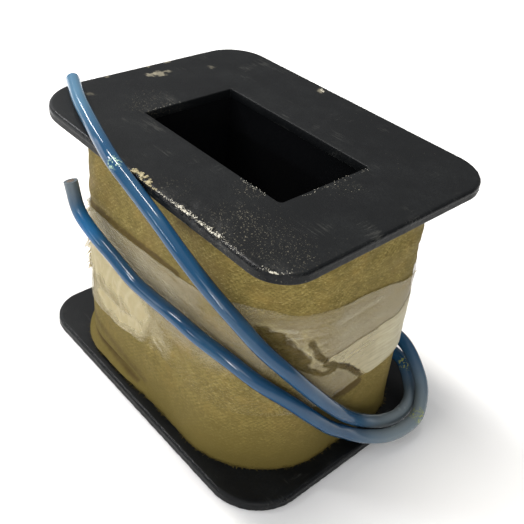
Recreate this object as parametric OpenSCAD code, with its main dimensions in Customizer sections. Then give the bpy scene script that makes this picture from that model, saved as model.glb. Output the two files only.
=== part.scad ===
// Ignition coil: a single winding in layers on a flanged former, wrapped in cloth tape and clear
// tape, with two flexible leads. A laminated core goes through its window.
// Millimetres, +Z up. The origin is the centre of the lower flange's underside, and +X runs along
// the flanges' long side. The leads leave the winding on its back, the +Y face.
// Corner lists run: front left (-X -Y), front right (+X -Y), back right (+X +Y), back left (-X +Y).

/* [Flanges] */
// Length of both flanges, along X
flange_l = 80; // [66:0.5:100]
// Width of both flanges, along Y
flange_w = 59; // [49:0.5:80]
// Thickness of each flange
flange_t = 2.2; // [1.4:0.1:4]
// Height over both flanges
coil_h = 61; // [50:0.5:90]
// Radius of the upper flange's front left corner
upper_r_front_left = 12; // [4:0.2:16]
// Radius of the upper flange's front right corner
upper_r_front_right = 7.6; // [4:0.2:16]
// Radius of the lower flange's front left corner
lower_r_front_left = 9; // [4:0.2:16]
// Radius of the lower flange's front right corner
lower_r_front_right = 12; // [4:0.2:16]
// Radius of the two back corners of both flanges
back_r = 9.6; // [4:0.2:16]

/* [Core window] */
// Length of the window in the flanges, along X
window_l = 42; // [34:0.5:51]
// Width of the window in the flanges, along Y
window_w = 23.3; // [19:0.1:29]
// How far the window stands off the flanges' centre, along X
window_x = 1.6; // [-3:0.1:3]
// How far the window stands off the flanges' centre, along Y
window_y = -1.9; // [-3:0.1:3]
// How far the tube's walls stand back from the window's edge
tube_setback = 0.3; // [0.1:0.1:1]
// Thickness of the tube's walls
tube_wall = 1.5; // [1:0.1:2.5]
// Radius of the tube's outer edges
tube_edge_r = 0.8; // [0.4:0.1:1]

/* [Winding] */
// Diameter of the enamelled wire, which is the thickness of one layer
wire_d = 1.1; // [0.8:0.05:1.4]
// Thickness of the paper on the tube, under the first layer
tube_paper_t = 0.6; // [0.3:0.1:1.2]
// Thickness of the paper between two layers
layer_paper_t = 0.2; // [0.1:0.05:0.4]
// Thickness of the barrier paper over the last layer
barrier_t = 0.6; // [0.3:0.1:1.2]
// How far each layer of wire stops short of the end cheeks
layer_margin = 1; // [0.5:0.1:3]
// Clearance round a wire in its slot or hole
wire_gap = 0.1; // [0.05:0.05:0.3]

/* [Wrap] */
// Thickness of the cloth tape over the winding
cloth_t = 1.1; // [0.6:0.1:2]
// Width of the clear tape
tape_w = 27; // [18:0.5:33]
// Height of the clear tape's lower edge
tape_z = 16; // [8:0.5:17]
// Thickness of the clear tape
tape_t = 0.15; // [0.1:0.05:0.3]
// Width of the second, narrower lap of clear tape
lap_w = 16; // [8:0.5:20]
// How far the lap's lower edge is above that of the first turn
lap_rise = 4.5; // [1:0.5:6]

/* [Leads] */
// Diameter of each lead over its insulation
lead_d = 3; // [2.4:0.1:3.6]
// Diameter of each lead's stranded core
core_d = 1.5; // [1:0.1:1.8]
// Height at which the start lead, from the first layer, leaves the splice cover
start_z = 8.5; // [7.5:0.1:9]
// Height at which the finish lead, from the last layer, leaves the splice cover
finish_z = 13.6; // [13:0.1:16]

/* [Splices] */
// Diameter of each soldered splice
splice_d = 2.2; // [1.8:0.1:2.4]
// Length of each soldered splice
splice_l = 6; // [4:0.5:8]
// Wall of the sleeve over each splice
sleeve_wall = 0.3; // [0.2:0.05:0.5]
// Clearance between a sleeve and what is in it, and round it
sleeve_gap = 0.05; // [0.05:0.05:0.2]
// Wall of the cloth cover over the splices
cover_wall = 0.6; // [0.4:0.1:1]
// Where the leads leave the splice cover, along X
exit_x = 22; // [18:0.5:24]

/* [Hidden] */
$fn = 64;
LAYERS = 7;

FLANGE_COLOR = [0.12, 0.12, 0.13];
TUBE_COLOR = [0.16, 0.15, 0.14];
PAPER_COLOR = [0.72, 0.6, 0.42];
WIRE_COLOR = [0.7, 0.33, 0.16];
CLOTH_COLOR = [0.62, 0.55, 0.33];
TAPE_COLOR = [0.85, 0.8, 0.62, 0.45];
LEAD_COLOR = [0.16, 0.38, 0.6];
SPLICE_COLOR = [0.75, 0.75, 0.77];
SLEEVE_COLOR = [0.85, 0.82, 0.72];
CORE_COLOR = [0.8, 0.5, 0.3];

// Depths outwards from the tube's outer face. Each surface of the build is at one of these.
first_layer_s = tube_paper_t;
layer_pitch = wire_d + layer_paper_t;
barrier_s = first_layer_s + LAYERS * layer_pitch - layer_paper_t;
cloth_s = barrier_s + barrier_t;
build = cloth_s + cloth_t;

// How fast each corner of the build rounds off with depth; 1 would keep the corners concentric.
corner_growth = [1.35, 1.7, 1.1, 1.15];

// The tube, and the heights between the flanges
tube_x = window_l / 2 + tube_setback + tube_wall;
tube_y = window_w / 2 + tube_setback + tube_wall;
low_z = flange_t;
high_z = coil_h - flange_t;
cheek_t = wire_d + wire_gap;
paper_z1 = low_z + cheek_t;
paper_z2 = high_z - cheek_t;
layer_z1 = paper_z1 + layer_margin;
layer_z2 = paper_z2 - layer_margin;

// The splices lie side by side on the back of the cloth wrap.
back_y = window_y + tube_y + build;
sleeve_id = lead_d + 2 * sleeve_gap;
sleeve_d = sleeve_id + 2 * sleeve_wall;
lead_y = back_y + sleeve_d / 2 + sleeve_gap;
wire_x = -7;
slot_w = wire_d + wire_gap;
slot_wire_z = low_z + cheek_t / 2;
splice_x1 = -3;
splice_x2 = splice_x1 + splice_l;
sleeve_x1 = wire_x + wire_d / 2 + 2;
sleeve_x2 = splice_x2 + 11;
tail_x = splice_x2 + 5;
pocket_x1 = wire_x - slot_w / 2 - 0.5;
pocket_z2 = finish_z + sleeve_d / 2 + 0.5;
pocket_y2 = lead_y + sleeve_d / 2 + sleeve_gap;
cover_end_wall = 1;
cover_r = 2;

// The narrow lap of clear tape covers the right end and stops on the front and back here.
lap_front_y = -13;
lap_back_x = 8;

// Route of the start lead after it leaves the splice cover: round the back right corner, low over
// the lower flange, up across the front and over the upper flange's front edge to its free end.
start_route = [
    [exit_x, lead_y, start_z], [27, 24.5, 8.5], [31.5, 24.5, 8], [36, 22.5, 5.5], [39, 19, 4.5],
    [40, 14, 4], [39, 9, 4.5], [38, 3, 8], [38, -2.5, 13], [38, -7.5, 18.5], [37, -13, 25],
    [35, -18.5, 32], [31.5, -23, 38], [27.5, -26.5, 44], [22.5, -29, 49], [16.5, -30.5, 53.5],
    [10, -31, 57], [3, -31, 59.5], [-4, -31, 62], [-11, -29.5, 63], [-19, -27, 63], [-28, -24, 63],
    [-38.5, -19.5, 62.5]
];
// Route of the finish lead: outside the start lead round the corner, then across the front to its
// free end, which stands off the front left corner.
finish_route = [
    [exit_x, lead_y, finish_z], [27, 24.5, 14], [31.5, 24.5, 13], [36, 23.5, 10.5], [40, 21.5, 7.5],
    [43, 17, 5], [43.5, 12, 4.5], [42.5, 7, 4.5], [40, 2, 5.5], [38.5, -3, 9], [38, -8, 13.5],
    [37, -12.5, 18.5], [34.5, -17.5, 24], [31, -22.5, 29], [26, -26, 33], [20, -28.5, 35.5],
    [13, -29, 36], [6, -29, 35.5], [-1, -29, 35.5], [-8, -29, 37], [-14, -29.5, 39],
    [-18.5, -30.5, 43], [-20.5, -31, 49.5]
];
LEAD_SIDES = 8;

// A flat outline between two opposite corners, with its own radius at each corner
module outline(x1, y1, x2, y2, r) {
    c = [
        [x1 + r[0], y1 + r[0]],
        [x2 - r[1], y1 + r[1]],
        [x2 - r[2], y2 - r[2]],
        [x1 + r[3], y2 - r[3]]
    ];
    polygon([
        [x1, c[0].y], [c[0].x, y1],
        [c[1].x, y1], [x2, c[1].y],
        [x2, c[2].y], [c[2].x, y2],
        [c[3].x, y2], [x1, c[3].y]
    ]);
    for (i = [0:3])
        translate(c[i]) circle(r = r[i]);
}

// The outline of the build at depth s outside the tube
module build_outline(s) {
    translate([window_x, window_y])
        outline(-tube_x - s, -tube_y - s, tube_x + s, tube_y + s, [for (g = corner_growth) tube_edge_r + g * s]);
}

// A closed band round the tube from depth s1 to depth s2
module band(s1, s2, z1, z2) {
    translate([0, 0, z1])
        linear_extrude(z2 - z1)
            difference() {
                build_outline(s2);
                build_outline(s1);
            }
}

// A flange with the core window through it
module flange(z, r) {
    translate([0, 0, z])
        linear_extrude(flange_t)
            difference() {
                outline(-flange_l / 2, -flange_w / 2, flange_l / 2, flange_w / 2, r);
                translate([window_x, window_y]) square([window_l, window_w], center = true);
            }
}

// One wall of the tube, cut to the tube's outline; front and back walls cover the side walls' ends
module tube_side(x1, y1, x2, y2) {
    translate([0, 0, low_z])
        linear_extrude(high_z - low_z)
            intersection() {
                build_outline(0);
                translate([window_x + x1, window_y + y1]) square([x2 - x1, y2 - y1]);
            }
}

// A round bar between two points
module rod(a, b, d) {
    v = b - a;
    translate(a)
        rotate([0, acos(v.z / norm(v)), atan2(v.y, v.x)])
            cylinder(h = norm(v), d = d);
}

// A wire through a list of points, round at its bends
module wire_run(points) {
    for (i = [0:len(points) - 2])
        rod(points[i], points[i + 1], wire_d);
    for (i = [1:len(points) - 2])
        translate(points[i]) sphere(d = wire_d);
}

// A round tube or bar along X on a lead's axis at height z
module along_x(x1, x2, z, d, bore = 0) {
    translate([x1, lead_y, z])
        rotate([0, 90, 0])
            difference() {
                cylinder(h = x2 - x1, d = d);
                if (bore > 0)
                    translate([0, 0, -1]) cylinder(h = x2 - x1 + 2, d = bore);
            }
}

function unit(v) = v / norm(v);

// Direction of travel at each point; the first is straight out of the splice cover
function headings(p) = [
    for (i = [0:len(p) - 1])
        i == 0 ? [1, 0, 0] : unit(p[min(i + 1, len(p) - 1)] - p[i - 1])
];

// A side vector at each point, carried along so that the rings don't twist
function side_vectors(t, n, i = 0) = i == len(t) ? [] :
    let (m = unit(n - (n * t[i]) * t[i]))
    concat([m], side_vectors(t, m, i + 1));

// A lead swept along its route, one ring at each point
module lead(p) {
    t = headings(p);
    s = side_vectors(t, [0, 0, 1]);
    n = LEAD_SIDES;
    last = len(p) - 1;
    rings = [
        for (i = [0:last], k = [0:n - 1])
            p[i] + lead_d / 2 * (cos(360 * k / n) * s[i] + sin(360 * k / n) * cross(t[i], s[i]))
    ];
    walls = [
        for (i = [0:last - 1], k = [0:n - 1], half = [0, 1])
            let (a = i * n + k, b = i * n + (k + 1) % n)
            half == 0 ? [a, a + n, b] : [b, a + n, b + n]
    ];
    near_end = [for (k = [0:n - 1]) k];
    far_end = [for (k = [n - 1:-1:0]) last * n + k];
    polyhedron(points = rings, faces = concat(walls, [near_end, far_end]));
}

module upper_flange() {
    color(FLANGE_COLOR) flange(high_z, [upper_r_front_left, upper_r_front_right, back_r, back_r]);
}

module lower_flange() {
    color(FLANGE_COLOR) flange(0, [lower_r_front_left, lower_r_front_right, back_r, back_r]);
}

module tube_wall_front() {
    color(TUBE_COLOR) tube_side(-tube_x, -tube_y, tube_x, -tube_y + tube_wall);
}

module tube_wall_back() {
    color(TUBE_COLOR) tube_side(-tube_x, tube_y - tube_wall, tube_x, tube_y);
}

module tube_wall_left() {
    color(TUBE_COLOR) tube_side(-tube_x, -tube_y + tube_wall, -tube_x + tube_wall, tube_y - tube_wall);
}

module tube_wall_right() {
    color(TUBE_COLOR) tube_side(tube_x - tube_wall, -tube_y + tube_wall, tube_x, tube_y - tube_wall);
}

module tube_paper() {
    color(PAPER_COLOR) band(0, tube_paper_t, low_z, high_z);
}

module upper_cheek() {
    color(PAPER_COLOR) band(tube_paper_t, cloth_s, paper_z2, high_z);
}

// The start wire lies in a slot from the first layer out to the back.
module lower_cheek() {
    color(PAPER_COLOR)
        difference() {
            band(tube_paper_t, cloth_s, low_z, paper_z1);
            translate([wire_x - slot_w / 2, window_y + tube_y, low_z - 1])
                cube([slot_w, build + 1, cheek_t + 2]);
        }
}

module winding_layer(i) {
    s = first_layer_s + (i - 1) * layer_pitch;
    color(WIRE_COLOR) band(s, s + wire_d, layer_z1, layer_z2);
}

module layer_paper(i) {
    s = first_layer_s + i * layer_pitch - layer_paper_t;
    color(PAPER_COLOR) band(s, s + layer_paper_t, paper_z1, paper_z2);
}

// The finish wire comes out through a hole here and in the cloth wrap.
module finish_wire_hole() {
    translate([wire_x, back_y - cloth_t - barrier_t - 1, finish_z])
        rotate([-90, 0, 0])
            cylinder(h = cloth_t + barrier_t + 2, d = slot_w);
}

module barrier_paper() {
    color(PAPER_COLOR)
        difference() {
            band(barrier_s, cloth_s, paper_z1, paper_z2);
            finish_wire_hole();
        }
}

module cloth_wrap() {
    color(CLOTH_COLOR)
        difference() {
            band(cloth_s, build, low_z, high_z);
            finish_wire_hole();
            translate([wire_x - slot_w / 2, back_y - cloth_t - 1, low_z - 1])
                cube([slot_w, cloth_t + 2, cheek_t + 1]);
        }
}

// The turn of clear tape passes over the splice cover, so it is open behind it.
module clear_tape_turn() {
    color(TAPE_COLOR)
        difference() {
            band(build, build + tape_t, tape_z, tape_z + tape_w);
            translate([pocket_x1 - cover_wall, back_y - 1, tape_z - 1])
                cube([exit_x - pocket_x1 + cover_wall, tape_t + 2, pocket_z2 + cover_wall - tape_z + 1]);
        }
}

module clear_tape_lap() {
    color(TAPE_COLOR)
        intersection() {
            band(build + tape_t, build + 2 * tape_t, tape_z + lap_rise, tape_z + lap_rise + lap_w);
            translate([lap_back_x, lap_front_y, 0]) cube([flange_l, flange_w, coil_h]);
        }
}

module start_wire() {
    color(WIRE_COLOR)
        wire_run([
            [wire_x, window_y + tube_y + first_layer_s + wire_d / 2, layer_z1],
            [wire_x, window_y + tube_y + first_layer_s + wire_d / 2, slot_wire_z],
            [wire_x, lead_y, slot_wire_z],
            [wire_x, lead_y, start_z],
            [splice_x1, lead_y, start_z]
        ]);
}

module finish_wire() {
    color(WIRE_COLOR)
        wire_run([
            [wire_x, window_y + tube_y + barrier_s, finish_z],
            [wire_x, lead_y, finish_z],
            [splice_x1, lead_y, finish_z]
        ]);
}

module splice(z) {
    color(SPLICE_COLOR) along_x(splice_x1, splice_x2, z, splice_d);
}

module sleeve(z) {
    color(SLEEVE_COLOR) along_x(sleeve_x1, sleeve_x2, z, sleeve_d, sleeve_id);
}

module core(z) {
    color(CORE_COLOR) along_x(splice_x2, exit_x, z, core_d);
}

module lead_tail(z) {
    color(LEAD_COLOR) along_x(tail_x, exit_x, z, lead_d, core_d);
}

// A folded patch of the same cloth, hollow over the splices, open to the wrap and to the flange
module splice_cover() {
    color(CLOTH_COLOR)
        difference() {
            translate([0, pocket_y2 + cover_wall, 0])
                rotate([90, 0, 0])
                    linear_extrude(pocket_y2 + cover_wall - back_y)
                        outline(pocket_x1 - cover_wall, low_z, exit_x, pocket_z2 + cover_wall,
                            [cover_r, cover_r, cover_r, cover_r]);
            translate([pocket_x1, back_y - 1, low_z - 1])
                cube([exit_x - cover_end_wall - pocket_x1, pocket_y2 - back_y + 1, pocket_z2 - low_z + 1]);
            for (z = [start_z, finish_z])
                along_x(exit_x - 2, exit_x + 1, z, lead_d + 2 * sleeve_gap);
        }
}

module start_lead() {
    color(LEAD_COLOR) lead(start_route);
}

module finish_lead() {
    color(LEAD_COLOR) lead(finish_route);
}

upper_flange();
lower_flange();
tube_wall_front();
tube_wall_back();
tube_wall_left();
tube_wall_right();
tube_paper();
upper_cheek();
lower_cheek();
for (i = [1:LAYERS])
    winding_layer(i);
for (i = [1:LAYERS - 1])
    layer_paper(i);
barrier_paper();
cloth_wrap();
clear_tape_turn();
clear_tape_lap();
start_wire();
finish_wire();
splice(start_z);  // start_splice
splice(finish_z);  // finish_splice
sleeve(start_z);  // start_sleeve
sleeve(finish_z);  // finish_sleeve
core(start_z);  // start_core
core(finish_z);  // finish_core
lead_tail(start_z);  // start_lead_tail
lead_tail(finish_z);  // finish_lead_tail
splice_cover();
start_lead();
finish_lead();
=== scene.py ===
"""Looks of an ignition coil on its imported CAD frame.

The coil is a layered winding on a black flanged former. It is wrapped in cotton tape and clear
tape, and two flexible leads come round from a cloth patch on its back. Sizes are millimetres in
the frame's own axes, and every mesh is scaled to metres as it is finished.
"""

import logging
import math
from collections.abc import Callable, Sequence
from dataclasses import dataclass
from enum import Enum
from random import Random

import bmesh
import bpy
from mathutils import Matrix, Vector, noise
from mathutils.geometry import intersect_point_line


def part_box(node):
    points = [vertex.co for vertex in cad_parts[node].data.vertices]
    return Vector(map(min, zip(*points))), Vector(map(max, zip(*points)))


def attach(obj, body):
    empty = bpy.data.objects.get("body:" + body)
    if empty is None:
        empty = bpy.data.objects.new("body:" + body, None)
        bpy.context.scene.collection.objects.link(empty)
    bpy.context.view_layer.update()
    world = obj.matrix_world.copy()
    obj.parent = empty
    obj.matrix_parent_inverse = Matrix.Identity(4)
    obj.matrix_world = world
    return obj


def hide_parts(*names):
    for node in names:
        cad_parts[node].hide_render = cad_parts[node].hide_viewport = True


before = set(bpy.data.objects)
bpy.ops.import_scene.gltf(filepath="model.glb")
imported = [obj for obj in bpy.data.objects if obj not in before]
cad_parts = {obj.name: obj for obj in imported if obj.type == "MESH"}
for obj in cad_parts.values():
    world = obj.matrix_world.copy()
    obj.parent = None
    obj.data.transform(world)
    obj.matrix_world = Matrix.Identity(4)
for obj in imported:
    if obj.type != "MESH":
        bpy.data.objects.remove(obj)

LOG = logging.getLogger("ignition_coil")
MM = 0.001
BODY = "root"
SURFACE_UV = "surface"
RIM = "rim"
# The cloth's stain value holds real stains and painted shade.
STAIN_AND_SHADE, WET, CREAM, CURL, PALE, BARE = "stain", "wet", "cream", "curl", "pale", "bare"
WELD = 0.0005

Colour = tuple[float, float, float, float]
Point = tuple[float, float, float]
Socket = bpy.types.NodeSocket


# ---------------------------------------------------------------- numbers and outlines


def tint(red: int, green: int, blue: int) -> Colour:
    """Turns a screen colour into the linear colour that a shader takes.

    Args:
        red: Red, 0 to 255.
        green: Green, 0 to 255.
        blue: Blue, 0 to 255.

    Returns:
        The colour in linear light, with an alpha of 1.
    """
    shares = [value / 255 for value in (red, green, blue)]
    linear = [s / 12.92 if s <= 0.04045 else ((s + 0.055) / 1.055) ** 2.4 for s in shares]
    return (linear[0], linear[1], linear[2], 1.0)


def ease(low: float, high: float, value: float) -> float:
    """Returns 0 below low, 1 above high and a smooth step between them."""
    share = min(1.0, max(0.0, (value - low) / (high - low)))
    return share * share * (3 - 2 * share)


def hump(centre: float, width: float, value: float) -> float:
    """Returns a bell that is 1 at centre and fades over width on either side."""
    return math.exp(-(((value - centre) / width) ** 2))


@dataclass(frozen=True)
class Line:
    """A height that changes along the wrap, through knots of (distance, height)."""

    knots: tuple[tuple[float, float], ...]
    period: float

    def at(self, along: float) -> float:
        """Gives the height at a distance along the wrap.

        Args:
            along: Distance round the wrap, in millimetres.

        Returns:
            The height, eased between the two knots on either side.
        """
        first = self.knots[0][0]
        along = first + (along - first) % self.period
        closed = (*self.knots, (first + self.period, self.knots[0][1]))
        for (a, low), (b, high) in zip(closed, closed[1:]):
            if along <= b:
                return low + (high - low) * ease(a, b, along)
        return closed[-1][1]


@dataclass(frozen=True)
class Mark:
    """A stroke or a patch on the unrolled wrap, through points of (distance, height)."""

    path: tuple[tuple[float, float], ...]
    radius: float = 0.0
    soft: float = 0.6
    level: float = 1.0
    filled: bool = False

    def at(self, along: float, height: float) -> float:
        """Gives how strongly the mark shows at a place.

        Args:
            along: Distance round the wrap, in millimetres.
            height: Height, in millimetres.

        Returns:
            Its level on the mark, falling to 0 away from it.
        """
        reach = self.radius + self.soft
        if not min(p[0] for p in self.path) - reach < along < max(p[0] for p in self.path) + reach:
            return 0.0
        here = Vector((along, height, 0))
        ring = [Vector((*p, 0)) for p in self.path]
        sides = list(zip(ring, ring[1:] + ring[:1] if self.filled else ring[1:]))
        gap = min(self.gap(here, a, b) for a, b in sides)
        if self.filled:
            crossings = sum(
                (a.y > height) != (b.y > height) and along < a.x + (height - a.y) / (b.y - a.y) * (b.x - a.x)
                for a, b in sides
            )
            gap = -gap if crossings % 2 else gap
        return self.level * (1 - ease(self.radius - self.soft, self.radius + self.soft, gap))

    @staticmethod
    def gap(here: Vector, start: Vector, stop: Vector) -> float:
        """Returns the distance from a place to a straight stroke."""
        if start == stop:
            return (here - start).length
        _, share = intersect_point_line(here, start, stop)
        return (here - start.lerp(stop, min(1.0, max(0.0, share)))).length


def strongest(marks: Sequence[Mark], along: float, height: float) -> float:
    """Returns the level of the mark that shows most at a place."""
    return max((mark.at(along, height) for mark in marks), default=0.0)


@dataclass(frozen=True)
class Station:
    """A place on an outline: its point, outward direction and distance from the start."""

    point: Vector
    out: Vector
    along: float


@dataclass(frozen=True)
class Outline:
    """A rounded rectangle seen from above, with its own radius at each corner.

    It runs anticlockwise from the start of its front side. The radii are front left, front
    right, back right and back left.
    """

    low: tuple[float, float]
    high: tuple[float, float]
    radii: tuple[float, float, float, float]

    def sectors(self) -> list[tuple[float, Callable[[float], tuple[Vector, Vector]]]]:
        """Gives the eight sides and corners in order.

        Returns:
            The length of each, and a function from a share of it to a point and a direction.
        """
        (x1, y1), (x2, y2) = self.low, self.high
        left, right, far, back = self.radii
        centres = [
            Vector((x2 - right, y1 + right)),
            Vector((x2 - far, y2 - far)),
            Vector((x1 + back, y2 - back)),
            Vector((x1 + left, y1 + left)),
        ]
        radii = [right, far, back, left]
        made = []
        for turn in range(4):
            angle = math.pi / 2 * (turn - 1)
            out = Vector((math.cos(angle), math.sin(angle)))
            start = centres[turn - 1] + out * radii[turn - 1]
            stop = centres[turn] + out * radii[turn]
            made.append(((stop - start).length, _straight(start, stop, out)))
            made.append((radii[turn] * math.pi / 2, _bend(centres[turn], radii[turn], angle)))
        return made

    def stations(self, counts: Sequence[int]) -> list[Station]:
        """Places stations round the outline, and the first one again at the end.

        Args:
            counts: How many steps each of the eight sides and corners takes.

        Returns:
            One station for each step and one to close.
        """
        made: list[Station] = []
        before = 0.0
        for (length, place), count in zip(self.sectors(), counts):
            for step in range(count):
                point, out = place(step / count)
                made.append(Station(point, out, before + length * step / count))
            before += length
        return [*made, Station(made[0].point, made[0].out, before)]

    def counts(self, step: float) -> list[int]:
        """Gives the number of steps of about one size on each side and corner."""
        return [max(2, round(length / step)) for length, _ in self.sectors()]

    def spaced(self, step: float) -> list[Station]:
        """Places stations about one step apart round the outline, and the first again at the end."""
        return self.stations(self.counts(step))


def _straight(start: Vector, stop: Vector, out: Vector) -> Callable[[float], tuple[Vector, Vector]]:
    """Returns the place function of a straight side."""
    return lambda share: (start.lerp(stop, share), out)


def _bend(centre: Vector, radius: float, angle: float) -> Callable[[float], tuple[Vector, Vector]]:
    """Returns the place function of a round corner that starts at an angle."""

    def place(share: float) -> tuple[Vector, Vector]:
        """Gives the point and direction at a share of the corner."""
        turned = angle + share * math.pi / 2
        out = Vector((math.cos(turned), math.sin(turned)))
        return centre + out * radius, out

    return place


# ---------------------------------------------------------------- meshes and pieces


def rolled(
    bm: bmesh.types.BMesh,
    cols: int,
    rows: int,
    place: Callable[[int, int], Vector],
    unwrap: Callable[[float, float], tuple[float, float]],
    layers: dict[str, Callable[[float, float], float]] | None = None,
) -> None:
    """Rolls a flat grid into a band or a ring, and gives it a UV map.

    Args:
        bm: The mesh to add to. Its vertices keep their rim value.
        cols: Steps along the grid.
        rows: Steps across it.
        place: Point of a vertex from its column and row.
        unwrap: UV of a corner from its column and row.
        layers: Named vertex values, each from the vertex's own UV.
    """
    uv = bm.loops.layers.uv.get(SURFACE_UV) or bm.loops.layers.uv.new(SURFACE_UV)
    made = bmesh.ops.create_grid(bm, x_segments=cols, y_segments=rows, size=0.5, calc_uvs=True)
    faces = {face for vert in made["verts"] for face in vert.link_faces}
    for face in faces:
        for loop in face.loops:
            loop[uv].uv = unwrap(loop[uv].uv.x * cols, loop[uv].uv.y * rows)
    for vert in made["verts"]:
        col, row = round((vert.co.x + 0.5) * cols), round((vert.co.y + 0.5) * rows)
        vert.co = place(col, row)
        for name, level in (layers or {}).items():
            vert[bm.verts.layers.float[name]] = level(*unwrap(col, row))


def capped(bm: bmesh.types.BMesh) -> None:
    """Welds the seams of a rolled grid and fills its open ends."""
    bmesh.ops.remove_doubles(bm, verts=bm.verts, dist=WELD)
    bmesh.ops.holes_fill(bm, edges=[e for e in bm.edges if e.is_boundary], sides=0)


class Piece:
    """A mesh in the making, in millimetres, which becomes one named object."""

    def __init__(self, name: str) -> None:
        """Starts an empty mesh for a piece of that name."""
        self.name = name
        self.bm = bmesh.new()

    def layer(self, *names: str) -> None:
        """Adds named vertex values, all 0 to begin with."""
        for name in names:
            self.bm.verts.layers.float.new(name)

    def done(
        self,
        material: bpy.types.Material,
        slot: str,
        replaces: Sequence[str] = (),
        crease: float = 180.0,
    ) -> bpy.types.Object:
        """slot: The record's material slot; not used.
            replaces: CAD nodes that it stands for.
            crease: Edges that turn more than this many degrees are shaded sharp.

        Returns:
            The object, riding on the body.
        """
        bmesh.ops.remove_doubles(self.bm, verts=self.bm.verts, dist=WELD)
        bmesh.ops.recalc_face_normals(self.bm, faces=self.bm.faces)
        bmesh.ops.scale(self.bm, vec=(MM, MM, MM), verts=self.bm.verts)
        for face in self.bm.faces:
            face.smooth = True
        for edge in self.bm.edges:
            edge.smooth = not edge.is_manifold or edge.calc_face_angle(0) < math.radians(crease)
        mesh = bpy.data.meshes.new(self.name)
        self.bm.to_mesh(mesh)
        self.bm.free()
        return settle(bpy.data.objects.new(self.name, mesh), material, replaces)


def settle(
    piece: bpy.types.Object,
    material: bpy.types.Material,
    replaces: Sequence[str] = (),
) -> bpy.types.Object:
    """Puts an object in the scene on the coil's body.

    Args:
        piece: The new object.
        material: Its finish.
        replaces: CAD nodes that it stands for.

    Returns:
        The same object.
    """
    bpy.context.scene.collection.objects.link(piece)
    piece.data.materials.append(material)
    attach(piece, BODY)
    if replaces:
        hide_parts(*replaces)
    LOG.info("%s made%s", piece.name, f" for {', '.join(replaces)}" if replaces else "")
    return piece


# ---------------------------------------------------------------- finishes


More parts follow.
